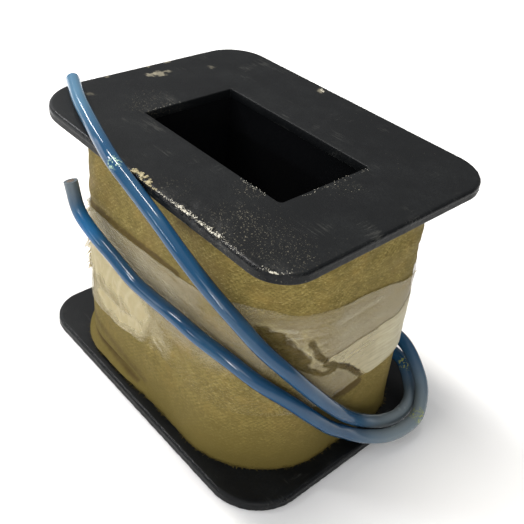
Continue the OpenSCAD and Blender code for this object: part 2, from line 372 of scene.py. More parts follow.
class Recipe:
    """A material's nodes, written from the coordinates to the shader.

    Vectors are in millimetres, so a noise of scale 0.5 has features about 2 mm across.
    """

    def __init__(self, name: str, uv: bool = False) -> None:
        """Starts a material.

        Args:
            name: The material's name.
            uv: Reads the piece's own UV map in place of its object coordinates.
        """
        self.material = bpy.data.materials.new(name)
        self.material.use_nodes = True
        self.tree = self.material.node_tree
        self.shader = self.tree.nodes["Principled BSDF"]
        self.solid = self.vector("MULTIPLY", self.node("ShaderNodeTexCoord").outputs["Object"], (1000,) * 3)
        self.place = self.node("ShaderNodeUVMap", uv_map=SURFACE_UV).outputs["UV"] if uv else self.solid

    def feed(self, socket: Socket, value: object) -> None:
        """Links a socket to another, or sets its number."""
        if isinstance(value, Socket):
            self.tree.links.new(value, socket)
        else:
            socket.default_value = value

    def node(self, kind: str, inputs: dict[int | str, object] | None = None, **settings: object) -> bpy.types.Node:
        """Adds a node.

        Args:
            kind: The node's type.
            inputs: Values or sockets for its inputs, by name or number.
            settings: Its own settings.

        Returns:
            The node.
        """
        made = self.tree.nodes.new(kind)
        for name, value in settings.items():
            setattr(made, name, value)
        for key, value in (inputs or {}).items():
            self.feed(made.inputs[key], value)
        return made

    def math(self, operation: str, *values: object) -> Socket:
        """Returns a sum, product or other function of numbers."""
        return self.node("ShaderNodeMath", dict(enumerate(values)), operation=operation).outputs[0]

    def plus(self, first: object, second: object) -> Socket:
        """Returns a sum."""
        return self.math("ADD", first, second)

    def minus(self, first: object, second: object) -> Socket:
        """Returns a difference."""
        return self.math("SUBTRACT", first, second)

    def times(self, first: object, second: object) -> Socket:
        """Returns a product."""
        return self.math("MULTIPLY", first, second)

    def larger(self, first: object, second: object) -> Socket:
        """Returns the larger of two numbers."""
        return self.math("MAXIMUM", first, second)

    def vector(self, operation: str, *values: object) -> Socket:
        """Returns a function of vectors, or the distance it gives."""
        made = self.node("ShaderNodeVectorMath", dict(enumerate(values)), operation=operation)
        return made.outputs["Value" if operation == "DISTANCE" else "Vector"]

    def noise(
        self, scale: float, detail: float = 3, rough: float = 0.5, stretch: Point = (1, 1, 1), seed: float = 0
    ) -> Socket:
        """Gives a noise from 0 to 1.

        Args:
            scale: Features per millimetre.
            detail: How many finer layers it has.
            rough: How strong the finer layers are.
            stretch: Scale along each axis.
            seed: Shifts the pattern.

        Returns:
            The noise, about 0.5 on average.
        """
        moved = self.node("ShaderNodeMapping", {"Vector": self.place, "Location": (seed,) * 3, "Scale": stretch})
        inputs = {"Vector": moved.outputs[0], "Scale": scale, "Detail": detail, "Roughness": rough}
        return self.node("ShaderNodeTexNoise", inputs).outputs["Fac"]

    def value(self, name: str) -> Socket:
        """Returns a named vertex value of the piece."""
        return self.node("ShaderNodeAttribute", attribute_name=name).outputs["Fac"]

    def wandering(self, mask: object, reach: float, scale: float = 0.8, seed: float = 0) -> Socket:
        """Returns a mask whose outline strays by a noise."""
        return self.plus(mask, self.times(self.minus(self.noise(scale, 4, 0.6, seed=seed), 0.5), reach))

    def step(self, value: object, low: float, high: float, to_low: float = 0, to_high: float = 1) -> Socket:
        """Eases a value from one range to another.

        Args:
            value: The number that changes.
            low: Where the step starts.
            high: Where it ends.
            to_low: The result up to low.
            to_high: The result from high on.

        Returns:
            The result.
        """
        values = dict(enumerate((value, low, high, to_low, to_high)))
        return self.node("ShaderNodeMapRange", values, interpolation_type="SMOOTHSTEP").outputs[0]

    def near(self, centre: Point, radius: float, soft: float = 0.5, wander: float = 0.0) -> Socket:
        """Gives a mask that is 1 round a point of the coil and 0 away from it.

        Args:
            centre: The point, in millimetres.
            radius: Where the mask has fallen by half.
            soft: Half the width of its edge.
            wander: How far its outline strays.

        Returns:
            The mask.
        """
        gap = self.vector("DISTANCE", self.solid, centre)
        if wander:
            gap = self.wandering(gap, wander, 0.6)
        return self.step(gap, radius - soft, radius + soft, 1, 0)

    def mix(self, factor: object, first: object, second: object) -> Socket:
        """Returns a blend of two colours."""
        return self.node("ShaderNodeMix", {0: factor, 6: first, 7: second}, data_type="RGBA").outputs[2]

    def bump(self, height: Socket, depth: float, strength: float = 1.0, under: Socket | None = None) -> Socket:
        """Adds relief.

        Args:
            height: Relief from 0 to 1.
            depth: Its depth in millimetres.
            strength: How much of it shows.
            under: Normal of coarser relief that it lies on.

        Returns:
            The normal.
        """
        inputs = {"Height": height, "Distance": depth * MM, "Strength": strength}
        if under is not None:
            inputs["Normal"] = under
        return self.node("ShaderNodeBump", inputs).outputs[0]

    def finish(self, **sockets: object) -> bpy.types.Material:
        """Feeds the shader.

        Args:
            sockets: Values or sockets by the shader's own names, with _ for a space.

        Returns:
            The material.
        """
        for name, value in sockets.items():
            self.feed(self.shader.inputs[name.replace("_", " ")], value)
        return self.material


@dataclass(frozen=True)
class BoardFinish:
    """Black varnished board, satin on its faces and glossy along its rim."""

    name: str
    black: Colour = tint(9, 11, 13)
    worn: Colour = tint(24, 26, 27)
    scuff: Colour = tint(84, 84, 80)
    dust: Colour = tint(158, 151, 131)
    grit: tuple[tuple[Point, float, float], ...] = ()
    patches: tuple[tuple[Point, float, float], ...] = ()

    def make(self) -> bpy.types.Material:
        """Returns the material."""
        r = Recipe(self.name)
        cloud = r.step(r.noise(0.09, 5, 0.65), 0.38, 0.68)
        grain = r.noise(2.6, 5, 0.7)
        colour = r.mix(r.times(cloud, r.step(grain, 0.3, 0.7)), self.black, self.worn)
        scratch = r.times(r.noise(0.9, 6, 0.8, (0.14, 2.4, 1)), r.noise(0.14, 2, 0.5, seed=7))
        colour = r.mix(r.step(scratch, 0.34, 0.46, 0, 0.4), colour, self.scuff)
        across = r.times(r.noise(1.1, 6, 0.8, (2.2, 0.2, 1), seed=9), r.noise(0.11, 2, 0.5, seed=21))
        colour = r.mix(r.step(across, 0.36, 0.46, 0, 0.3), colour, self.scuff)
        thick: object = r.step(r.noise(0.12, 3, 0.6, seed=11), 0.5, 0.75, 0, 0.05)
        for centre, radius, share in self.grit:
            thick = r.larger(thick, r.times(r.near(centre, radius, radius * 0.6), share))
        speck = r.plus(r.noise(3.6, 3, 0.6, seed=3), thick)
        colour = r.mix(r.step(speck, 0.73, 0.82, 0, 0.5), colour, self.dust)
        for centre, radius, share in self.patches:
            colour = r.mix(r.times(r.near(centre, radius, 0.5, 4.5), share), colour, self.dust)
        rim = r.value(RIM)
        rough = r.plus(r.step(rim, 0.2, 0.9, 0.4, 0.14), r.times(grain, 0.16))
        relief = r.bump(r.noise(0.3, 5, 0.65), 0.12, 0.5)
        relief = r.bump(grain, 0.035, 0.6, relief)
        relief = r.bump(speck, 0.1, 0.5, relief)
        return r.finish(Base_Color=colour, Roughness=rough, Normal=relief, Specular_IOR_Level=0.18)


@dataclass(frozen=True)
class ClothFinish:
    """Varnished cotton tape in a plain weave, felted with age, with real stains and painted shade."""

    name: str
    thread: float = 0.6
    light: Colour = tint(152, 136, 78)
    dark: Colour = tint(96, 84, 38)
    stain: Colour = tint(116, 95, 44)
    fleck: Colour = tint(72, 60, 24)
    # One brown for real stains and for painted shade in creases and under the upper flange.
    stain_and_shade_brown: Colour = tint(70, 55, 24)
    worn_thread: Colour = tint(186, 170, 112)
    golden: Colour = tint(150, 124, 64)

    def make(self) -> bpy.types.Material:
        """Returns the material."""
        r = Recipe(self.name, uv=True)
        wander = r.times(r.minus(r.noise(0.2, 3, 0.6), 0.5), 3.0)
        along, across = self.coordinate(r, 0), self.coordinate(r, 1)
        weft = r.math("SINE", r.times(r.plus(along, wander), math.pi / self.thread))
        warp = r.math("SINE", r.times(r.plus(across, wander), math.pi / (self.thread * 0.9)))
        weave = r.step(r.times(weft, warp), -0.9, 0.9)
        worn = r.step(r.noise(0.3, 3, 0.6, seed=13), 0.35, 0.65)
        weave = r.times(weave, worn)
        fibre = r.noise(3.4, 5, 0.75, (0.2, 1.8, 1))
        hair = r.noise(3.0, 5, 0.75, (1.7, 0.6, 1), seed=8)
        patch = r.noise(0.1, 5, 0.65, seed=5)
        shade = r.plus(r.times(weave, 0.11), r.times(fibre, 0.66))
        shade = r.plus(shade, r.times(hair, 0.45))
        colour = r.mix(r.step(shade, 0.49, 0.79), self.dark, self.light)
        colour = r.mix(r.step(patch, 0.42, 0.72, 0, 0.5), colour, self.stain)
        colour = r.mix(r.step(hair, 0.54, 0.66, 0, 0.85), colour, self.fleck)
        strand = r.noise(3.2, 4, 0.7, (0.5, 1.4, 1), seed=17)
        colour = r.mix(r.step(strand, 0.55, 0.68, 0, 0.6), colour, self.worn_thread)
        colour = r.mix(r.step(r.noise(0.16, 5, 0.65, seed=29), 0.5, 0.75, 0, 0.4), colour, self.golden)
        # Darker towards the bottom of the cloth: partly grime, partly painted shade that offsets the light the floor
        # throws up.
        low = r.step(r.plus(across, r.times(patch, 8)), 6, 30, 0.95, 0)
        colour = r.mix(low, colour, self.dark)
        # Real stains, and painted shade in the crease above the clear tape, in the groove above the hem and under
        # the upper flange.
        colour = r.mix(r.step(r.wandering(r.value(STAIN_AND_SHADE), 0.4), 0.2, 0.8, 0, 0.85), colour, self.stain_and_shade_brown)
        height = r.plus(r.times(weave, 0.24), r.times(r.plus(fibre, hair), 0.55))
        relief = r.bump(height, 0.17, 0.75)
        rough = r.step(patch, 0.3, 0.8, 0.85, 0.66)
        return r.finish(Base_Color=colour, Roughness=rough, Normal=relief, Specular_IOR_Level=0.2)

    def coordinate(self, r: Recipe, axis: int) -> Socket:
        """Returns one coordinate of the unrolled cloth, in millimetres."""
        return r.node("ShaderNodeSeparateXYZ", {0: r.place}).outputs[axis]


@dataclass(frozen=True)
class ClearTapeFinish:
    """Old clear tape: hazy on the whole, cream where it curls, dark where resin has wetted it."""

    name: str
    haze: Colour = tint(176, 164, 136)
    cream: Colour = tint(206, 193, 150)
    curl: Colour = tint(228, 217, 180)
    pale: Colour = tint(200, 194, 166)
    wet: Colour = tint(82, 68, 36)
    line: Colour = tint(206, 194, 150)
    hazed: float = 0.27
    shore: float = 0.36

    def make(self) -> bpy.types.Material:
        """Returns the material."""
        r = Recipe(self.name, uv=True)
        streak = r.noise(0.8, 4, 0.6, (0.16, 2.0, 1), seed=4)
        cloud = r.noise(0.12, 4, 0.6, seed=2)
        pale = r.times(r.value(PALE), r.step(streak, 0.2, 0.7, 0.8, 1))
        cream = r.step(r.wandering(r.value(CREAM), 0.6, 0.35, 6), 0.0, 0.9)
        wet = r.wandering(r.value(WET), 0.9, 0.5, 3)
        inside = r.step(wet, self.shore, 0.62)
        outline = r.step(r.math("ABSOLUTE", r.minus(wet, self.shore)), 0.04, 0.1, 1, 0)
        swirl = r.math("ABSOLUTE", r.minus(r.noise(0.2, 2, 0.4, (1.5, 0.42, 1), seed=1), 0.5))
        curled = r.times(cream, r.step(cloud, 0.35, 0.6))
        lines = r.times(r.step(swirl, 0.0, 0.04, 0.5, 0), curled)
        lines = r.larger(lines, r.step(r.wandering(r.value(CURL), 0.5, 0.7, 9), 0.1, 0.9))
        colour = r.mix(r.step(streak, 0.3, 0.7), self.haze, r.mix(0.25, self.haze, self.pale))
        colour = r.mix(pale, colour, self.pale)
        colour = r.mix(cream, colour, self.cream)
        colour = r.mix(lines, colour, self.curl)
        colour = r.mix(r.times(outline, 0.8), colour, self.line)
        colour = r.mix(inside, colour, self.wet)
        alpha = r.step(streak, 0.25, 0.75, self.hazed - 0.06, self.hazed + 0.06)
        alpha = r.plus(alpha, r.step(cloud, 0.35, 0.7, -0.06, 0.06))
        alpha = r.times(alpha, r.minus(1, r.value(BARE)))
        alpha = r.plus(alpha, r.times(pale, 0.36))
        for layer, share in ((cream, 0.42), (lines, 0.5), (outline, 0.2), (inside, 0.13)):
            alpha = r.larger(alpha, r.times(layer, share))
        relief = r.bump(streak, 0.12, 0.5)
        return r.finish(Base_Color=colour, Alpha=alpha, Roughness=0.5, Normal=relief, Specular_IOR_Level=0.3)


@dataclass(frozen=True)
class LeadFinish:
    """Glossy blue insulation, a little dusty, with dabs of old resin."""

    name: str
    blue: Colour = tint(27, 66, 97)
    pale: Colour = tint(48, 84, 108)
    dabs: tuple[tuple[Point, float, Colour], ...] = ()
    dull_and_sheen: tuple[tuple[Point, float, float, Colour], ...] = ()

    def make(self) -> bpy.types.Material:
        """Returns the material."""
        r = Recipe(self.name)
        dust = r.noise(0.12, 4, 0.6, seed=1)
        colour = r.mix(r.step(dust, 0.45, 0.75, 0, 0.5), self.blue, self.pale)
        colour = r.mix(r.step(r.noise(1.6, 4, 0.7), 0.6, 0.75, 0, 0.25), colour, self.pale)
        film: object = 0.0
        # Duller patches; those on the low loops are dust with painted sheen.
        for centre, radius, share, shade in self.dull_and_sheen:
            here = r.times(r.near(centre, radius, radius * 0.7), share)
            colour = r.mix(here, colour, shade)
            film = r.larger(film, here)
        for centre, radius, dab in self.dabs:
            blot = r.times(r.near(centre, radius, 0.6), r.step(r.noise(1.8, 3, 0.6), 0.5, 0.62))
            colour = r.mix(blot, colour, dab)
        rough = r.plus(r.step(dust, 0.35, 0.8, 0.07, 0.15), r.times(film, 0.25))
        relief = r.bump(r.noise(0.5, 3, 0.5), 0.03, 0.25)
        return r.finish(Base_Color=colour, Roughness=rough, Normal=relief, Specular_IOR_Level=0.38)


@dataclass(frozen=True)
class GrainFinish:
    """A plain material with a mottled colour and a fine relief."""

    name: str
    dark: Colour
    light: Colour
    scale: float = 0.6
    stretch: Point = (1, 1, 1)
    roughness: float = 0.7
    metallic: float = 0.0
    depth: float = 0.05
    shine: float = 0.5

    def make(self) -> bpy.types.Material:
        """Returns the material."""
        r = Recipe(self.name)
        grain = r.noise(self.scale, 5, 0.65, self.stretch)
        colour = r.mix(r.step(grain, 0.3, 0.7), self.dark, self.light)
        relief = r.bump(r.noise(self.scale * 4, 4, 0.6, self.stretch), self.depth, 0.6)
        return r.finish(
            Base_Color=colour, Roughness=self.roughness, Metallic=self.metallic, Normal=relief,
            Specular_IOR_Level=self.shine,
        )


@dataclass(frozen=True)
class WireFinish:
    """Enamelled wire laid in rows, shown as a ribbed winding with painted shade in the grooves between turns and
    painted light on their crests.
    """

    name: str
    pitch: float = 1.2
    dark: Colour = tint(92, 40, 16)
    light: Colour = tint(186, 98, 44)

    def make(self) -> bpy.types.Material:
        """Returns the material."""
        r = Recipe(self.name)
        height = r.node("ShaderNodeSeparateXYZ", {0: r.solid}).outputs[2]
        rib = r.math("ABSOLUTE", r.math("SINE", r.times(height, math.pi / self.pitch)))
        # Painted shade in the grooves between turns, painted light on the crests.
        colour = r.mix(r.step(rib, 0.0, 0.6), self.dark, self.light)
        relief = r.bump(rib, 0.5, 1.0)
        return r.finish(Base_Color=colour, Roughness=0.28, Metallic=0.7, Normal=relief)


# ---------------------------------------------------------------- the studio


@dataclass(frozen=True)
class Lamp:
    """A rectangular soft light: its place, its two sides and its power in watts."""

    name: str
    at: Point
    size: tuple[float, float]
    power: float
    colour: Colour


@dataclass
class Studio:
    """Camera, floor and lamps. The lamps all face the middle of the coil."""

    camera_at: Point = (101.70, -96.14, 133.36)
    azimuth: float = 45.48
    elevation: float = 32.48
    roll: float = 5.83
    lens: float = 52.70
    shift: tuple[float, float] = (0.0021, -0.1125)
    floor_size: float = 4000.0
    floor_tint: Colour = tint(250, 250, 250)
    sky: float = 0.74
    horizon: float = 0.3
    middle: Point = (0.0, 0.0, 30.0)
    lamps: tuple[Lamp, ...] = (
        Lamp("overhead", (-170, -40, 600), (50, 400), 3.4, tint(255, 252, 246)),
        Lamp("front_strip", (-40, -620, 300), (320, 30), 0.85, tint(250, 250, 255)),
        Lamp("left_strip", (-520, 10, 400), (30, 260), 0.9, tint(252, 252, 255)),
        Lamp("middle_strip", (-330, -330, 460), (30, 160), 0.6, tint(252, 252, 255)),
        Lamp("right_strip", (440, -420, 150), (30, 170), 0.6, tint(252, 252, 255)),
        Lamp("right_fill", (480, -300, 240), (300, 300), 0.75, tint(255, 252, 248)),
        Lamp("left_fill", (-460, -330, 170), (260, 260), 0.5, tint(252, 252, 255)),
    )

    def camera(self) -> None:
        """Makes the camera that looks down at the front right corner."""
        a, e, roll = (math.radians(v) for v in (self.azimuth, self.elevation, self.roll))
        back = Vector((math.sin(a) * math.cos(e), -math.cos(a) * math.cos(e), math.sin(e)))
        level = Vector((math.cos(a), math.sin(a), 0))
        plumb = back.cross(level)
        right = level * math.cos(roll) + plumb * math.sin(roll)
        up = plumb * math.cos(roll) - level * math.sin(roll)
        data = bpy.data.cameras.new("studio_camera")
        data.lens, data.sensor_width = self.lens, 36.0
        data.shift_x, data.shift_y = self.shift
        data.clip_start, data.clip_end = 0.005, 20.0
        made = bpy.data.objects.new("studio_camera", data)
        turn = Matrix((right, up, back)).transposed().to_4x4()
        made.matrix_world = Matrix.Translation(Vector(self.camera_at) * MM) @ turn
        bpy.context.scene.collection.objects.link(made)
        bpy.context.scene.camera = made

    def floor(self) -> None:
        """Lays the pale floor just under the lower flange."""
        bm = bmesh.new()
        bmesh.ops.create_grid(bm, x_segments=8, y_segments=8, size=self.floor_size / 2 * MM)
        bmesh.ops.translate(bm, vec=(0, 0, -0.02 * MM), verts=bm.verts)
        mesh = bpy.data.meshes.new("floor")
        bm.to_mesh(mesh)
        bm.free()
        made = bpy.data.objects.new("floor", mesh)
        bpy.context.scene.collection.objects.link(made)
        r = Recipe("floor_paper")
        paper = r.mix(r.noise(0.01, 2), self.floor_tint, tint(244, 244, 244))
        made.data.materials.append(r.finish(Base_Color=paper, Roughness=0.9))

    def light(self, lamp: Lamp) -> None:
        """Hangs a lamp.

        Args:
            lamp: Where it hangs and what it gives.
        """
        data = bpy.data.lights.new(lamp.name, "AREA")
        data.shape = "RECTANGLE"
        data.size, data.size_y = lamp.size[0] * MM, lamp.size[1] * MM
        data.energy, data.color = lamp.power, lamp.colour[:3]
        made = bpy.data.objects.new(lamp.name, data)
        made.location = Vector(lamp.at) * MM
        aim = Vector(self.middle) - Vector(lamp.at)
        made.rotation_euler = aim.to_track_quat("-Z", "Y").to_euler()
        bpy.context.scene.collection.objects.link(made)

    def lights(self) -> None:
        """Hangs the lamps and fills the room."""
        for lamp in self.lamps:
            self.light(lamp)
        self.room()
        bpy.context.scene.view_settings.view_transform = "Standard"

    def room(self) -> None:
        """Fills the room with a sky that is bright overhead and dim near the floor."""
        world = bpy.data.worlds.new("room")
        world.use_nodes = True
        tree = world.node_tree
        direction = tree.nodes.new("ShaderNodeTexCoord").outputs["Generated"]
        split = tree.nodes.new("ShaderNodeSeparateXYZ")
        ramp = tree.nodes.new("ShaderNodeValToRGB")
        tree.links.new(direction, split.inputs[0])
        tree.links.new(split.outputs["Z"], ramp.inputs["Fac"])
        tree.links.new(ramp.outputs["Color"], tree.nodes["Background"].inputs["Color"])
        stops = ramp.color_ramp.elements
        stops[0].position, stops[0].color = 0.0, (*[self.horizon] * 3, 1)
        stops[1].position, stops[1].color = 1.0, (1, 1, 1, 1)
        middle = stops.new(0.55)
        middle.color = (*[self.horizon * 1.6] * 3, 1)
        tree.nodes["Background"].inputs["Strength"].default_value = self.sky
        bpy.context.scene.world = world

    def build(self) -> None:
        """Sets the whole studio up."""
        self.camera()
        self.floor()
        self.lights()
        LOG.info("studio ready")


# ---------------------------------------------------------------- the leads


class LeadName(Enum):
    """The two free leads."""

    START = "start"
    FINISH = "finish"


@dataclass
class Lead:
    """A free lead on its route, with the cut end of its stranded core."""

    name: LeadName
    route: tuple[Point, ...]
    length: float
    finish: LeadFinish
    diameter: float = 3.0
    core: float = 1.5
    strands: int = 19
    strand: float = 0.29
    proud: float = 0.12
    buried: float = 1.2

    def curve(self) -> bpy.types.Object:
        """Makes the lead as one smooth curve with its own thickness.

        Returns:
            The curve object.
        """
        data = bpy.data.curves.new(f"{self.name.value}_lead_tube", "CURVE")
        data.dimensions = "3D"
        data.resolution_u, data.bevel_resolution = 8, 6
        data.bevel_depth, data.use_fill_caps = self.diameter / 2 * MM, True
        spline = data.splines.new("BEZIER")
        spline.bezier_points.add(len(self.route) - 1)
        points = [Vector(p) * MM for p in self.route]
        for i, (point, knot) in enumerate(zip(points, spline.bezier_points)):
            ahead, behind = points[min(i + 1, len(points) - 1)], points[max(i - 1, 0)]
            reach = (ahead - behind) / (6 if 0 < i < len(points) - 1 else 3)
            knot.co, knot.handle_left, knot.handle_right = point, point - reach, point + reach
        return bpy.data.objects.new(f"{self.name.value}_lead_tube", data)

    def cut_end(self) -> Piece:
        """Makes the strands that show in the cut end.

        Returns:
            The strands, as one piece.
        """
        piece = Piece(f"{self.name.value}_lead_strands")
        end = Vector(self.route[-1])
        along = (end - Vector(self.route[-2])).normalized()
        turn = along.to_track_quat("Z", "Y").to_matrix().to_4x4()
        rings = [(1, 0.0), (6, self.core * 0.25), (self.strands - 7, self.core * 0.47)]
        for count, radius in rings:
            for step in range(count):
                angle = math.tau * step / count
                offset = Vector((math.cos(angle), math.sin(angle), 0)) * radius
                offset.z = (self.proud - self.buried) / 2 + 0.03 * math.sin(step * 2.3)
                made = bmesh.ops.create_cone(
                    piece.bm, cap_ends=True, segments=8, radius1=self.strand / 2,
                    radius2=self.strand / 2, depth=self.buried,
                    matrix=Matrix.Translation(end) @ turn @ Matrix.Translation(offset),
                )
                bmesh.ops.bevel(
                    piece.bm, geom=list({e for v in made["verts"] for e in v.link_edges}),
                    offset=0.03, segments=1, profile=0.5, affect="EDGES", material=-1,
                )
        return piece

    def build(self, copper: bpy.types.Material) -> None:
        """Makes the lead and its strands."""
        tube = settle(self.curve(), self.finish.make(), [f"{self.name.value}_lead"])
        strands = self.cut_end().done(copper, "stranded_core", crease=40)
        [v * MM for v in self.route[0]]


FLANGE_TOP = 61.0
START_LENGTH = 160.0
FINISH_LENGTH = 140.0
EXIT = (22.0, 24.65)
START_ROUTE: tuple[Point, ...] = (
    (*EXIT, 8.5), (27, 24.5, 8.5), (31.5, 24.5, 8), (36, 22.5, 5.5), (39, 19, 4.5), (40, 14, 4),
    (39, 9, 4.5), (38, 3, 8), (38, -2.5, 13), (38, -7.5, 18.5), (37, -13, 25), (35, -18.5, 32),
    (31.5, -23, 38), (27.5, -26.5, 44), (22.5, -29, 49), (16.5, -30.5, 53.5), (10, -31, 57),
    (3, -31, 59.5), (-4, -31, 62), (-11, -29.5, 63), (-19, -27, 63), (-28, -24, 63),
    (-38.5, -19.5, 62.5),
)
FINISH_ROUTE: tuple[Point, ...] = (
    (*EXIT, 13.6), (27, 24.5, 14), (31.5, 24.5, 13), (36, 23.5, 10.5), (40, 21.5, 7.5),
    (43, 17, 5), (43.5, 12, 4.5), (42.5, 7, 4.5), (40, 2, 5.5), (38.5, -3, 9), (38, -8, 13.5),
    (37, -12.5, 18.5), (34.5, -17.5, 24), (31, -22.5, 29), (26, -26, 33), (20, -28.5, 35.5),
    (13, -29, 36), (6, -29, 35.5), (-1, -29, 35.5), (-8, -29, 37), (-14, -29.5, 39),
    (-18.5, -30.5, 43), (-20.5, -31, 49.5),
)


# ---------------------------------------------------------------- the former


@dataclass(frozen=True)
class RimPoint:
    """One row of a flange's section: how far in from the rim, towards the window, and how high."""

    inset: float
    share: float
    outset: float
    height: float


@dataclass
class Flange:
    """A flange of the former: a flat board with a rolled rim and a window for the core."""

    node: str
    radii: tuple[float, float, float, float]
    finish: BoardFinish
    chips: tuple[tuple[Point, float, float], ...] = ()
    window_radii: tuple[float, float, float, float] = (0.3, 0.9, 0.3, 0.3)
    window_low: tuple[float, float] = (-19.4, -13.55)
    window_high: tuple[float, float] = (22.6, 9.75)
    rim_radius: float = 0.7
    edge_radius: float = 0.25
    under_radius: float = 0.3
    bead: float = 0.6
    step: float = 0.5
    roughness: float = 0.05

    def section(self, low: float, high: float) -> list[RimPoint]:
        """Gives the rows of the flange's section, once round it.

        Args:
            low: Height of its underside.
            high: Height of its upper face.

        Returns:
            The rows from the rim over the top and back underneath.
        """
        rim, edge = self.rim_radius, self.edge_radius
        quarter = [math.pi / 2 * k / 4 for k in range(5)]
        rows = [RimPoint(rim * (1 - math.cos(a)), 0, edge, high - rim * (1 - math.sin(a))) for a in quarter]
        rows += [RimPoint(rim, s, edge, high) for s in (0.02, 0.05, 0.09, 0.14, 0.2, 0.3, 0.45, 0.6, 0.75, 0.9, 1)]
        rows += [RimPoint(rim, 1, edge * (1 - math.sin(a)), high - edge * (1 - math.cos(a))) for a in quarter[1:]]
        rows += [RimPoint(rim, 1, edge * (1 - math.cos(a)), low + edge * (1 - math.sin(a))) for a in quarter]
        rows += [RimPoint(rim, s, edge, low) for s in (0.8, 0.5, 0.2)]
        under = self.under_radius
        rows += [RimPoint(under * (1 - math.sin(a)), 0, edge, low + under * (1 - math.cos(a))) for a in quarter]
        rows += [RimPoint(0, 0, edge, low + (high - low) * s) for s in (0.3, 0.5)]
        return rows

    def chip(self, point: Vector) -> float:
        """Gives how deep the broken places go at a point.

        Args:
            point: A point of the flange, before it is chipped.

        Returns:
            The depth in millimetres.
        """
        depth = 0.0
        for centre, reach, bite in self.chips:
            near = 1 - ease(0.3 * reach, reach, (point - Vector(centre)).length)
            if near > 0:
                jag = 0.5 + 0.9 * noise.noise(point * 1.7) + 0.5 * noise.noise(point * 4.1)
                depth = max(depth, bite * near * max(0.0, jag))
        return depth

    def build(self) -> None:
        """Makes the flange in place of its CAD node."""
        low_corner, high_corner = (Vector(v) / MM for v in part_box(self.node))
        rows = self.section(low_corner.z, high_corner.z)
        outer = Outline(low_corner.xy[:], high_corner.xy[:], self.radii)
        window = Outline(self.window_low, self.window_high, self.window_radii)
        counts = outer.counts(self.step)
        rim, hole = outer.stations(counts), window.stations(counts)
        piece = Piece(f"{self.node}_board")
        piece.layer(RIM)
        rim_layer = piece.bm.verts.layers.float[RIM]

        def place(col: int, row: int) -> Vector:
            """Puts one vertex in its place."""
            at = rows[row % len(rows)]
            edge, inner = rim[col % (len(rim) - 1)], hole[col % (len(hole) - 1)]
            flat = (edge.point - edge.out * at.inset).lerp(inner.point + inner.out * at.outset, at.share)
            point = Vector((flat.x, flat.y, at.height))
            if at.share < 0.3 and at.height > low_corner.z + 0.4:
                bite = self.chip(point)
                point.z -= bite
                point -= edge.out.to_3d() * bite * 0.5
            if at.share == 0:
                point -= edge.out.to_3d() * self.roughness * (1 + noise.noise(point * 1.3))
            return point

        rolled(piece.bm, len(rim) - 1, len(rows), place, lambda c, r: (c / 10, r / 10))
        middle = (low_corner.z + high_corner.z) / 2
        for vert in piece.bm.verts:
            inside = (*(vert.co - low_corner).xy, *(high_corner - vert.co).xy)
            vert[rim_layer] = 1.0 if vert.co.z > middle and min(inside) < self.bead else 0.0
        piece.done(self.finish.make(), "flange_board", [self.node], crease=60)


@dataclass(frozen=True)
class Trail:
    """A line of crumbs on the upper flange."""

    path: tuple[tuple[float, float], ...]
    width: float
    count: int
    size: tuple[float, float]


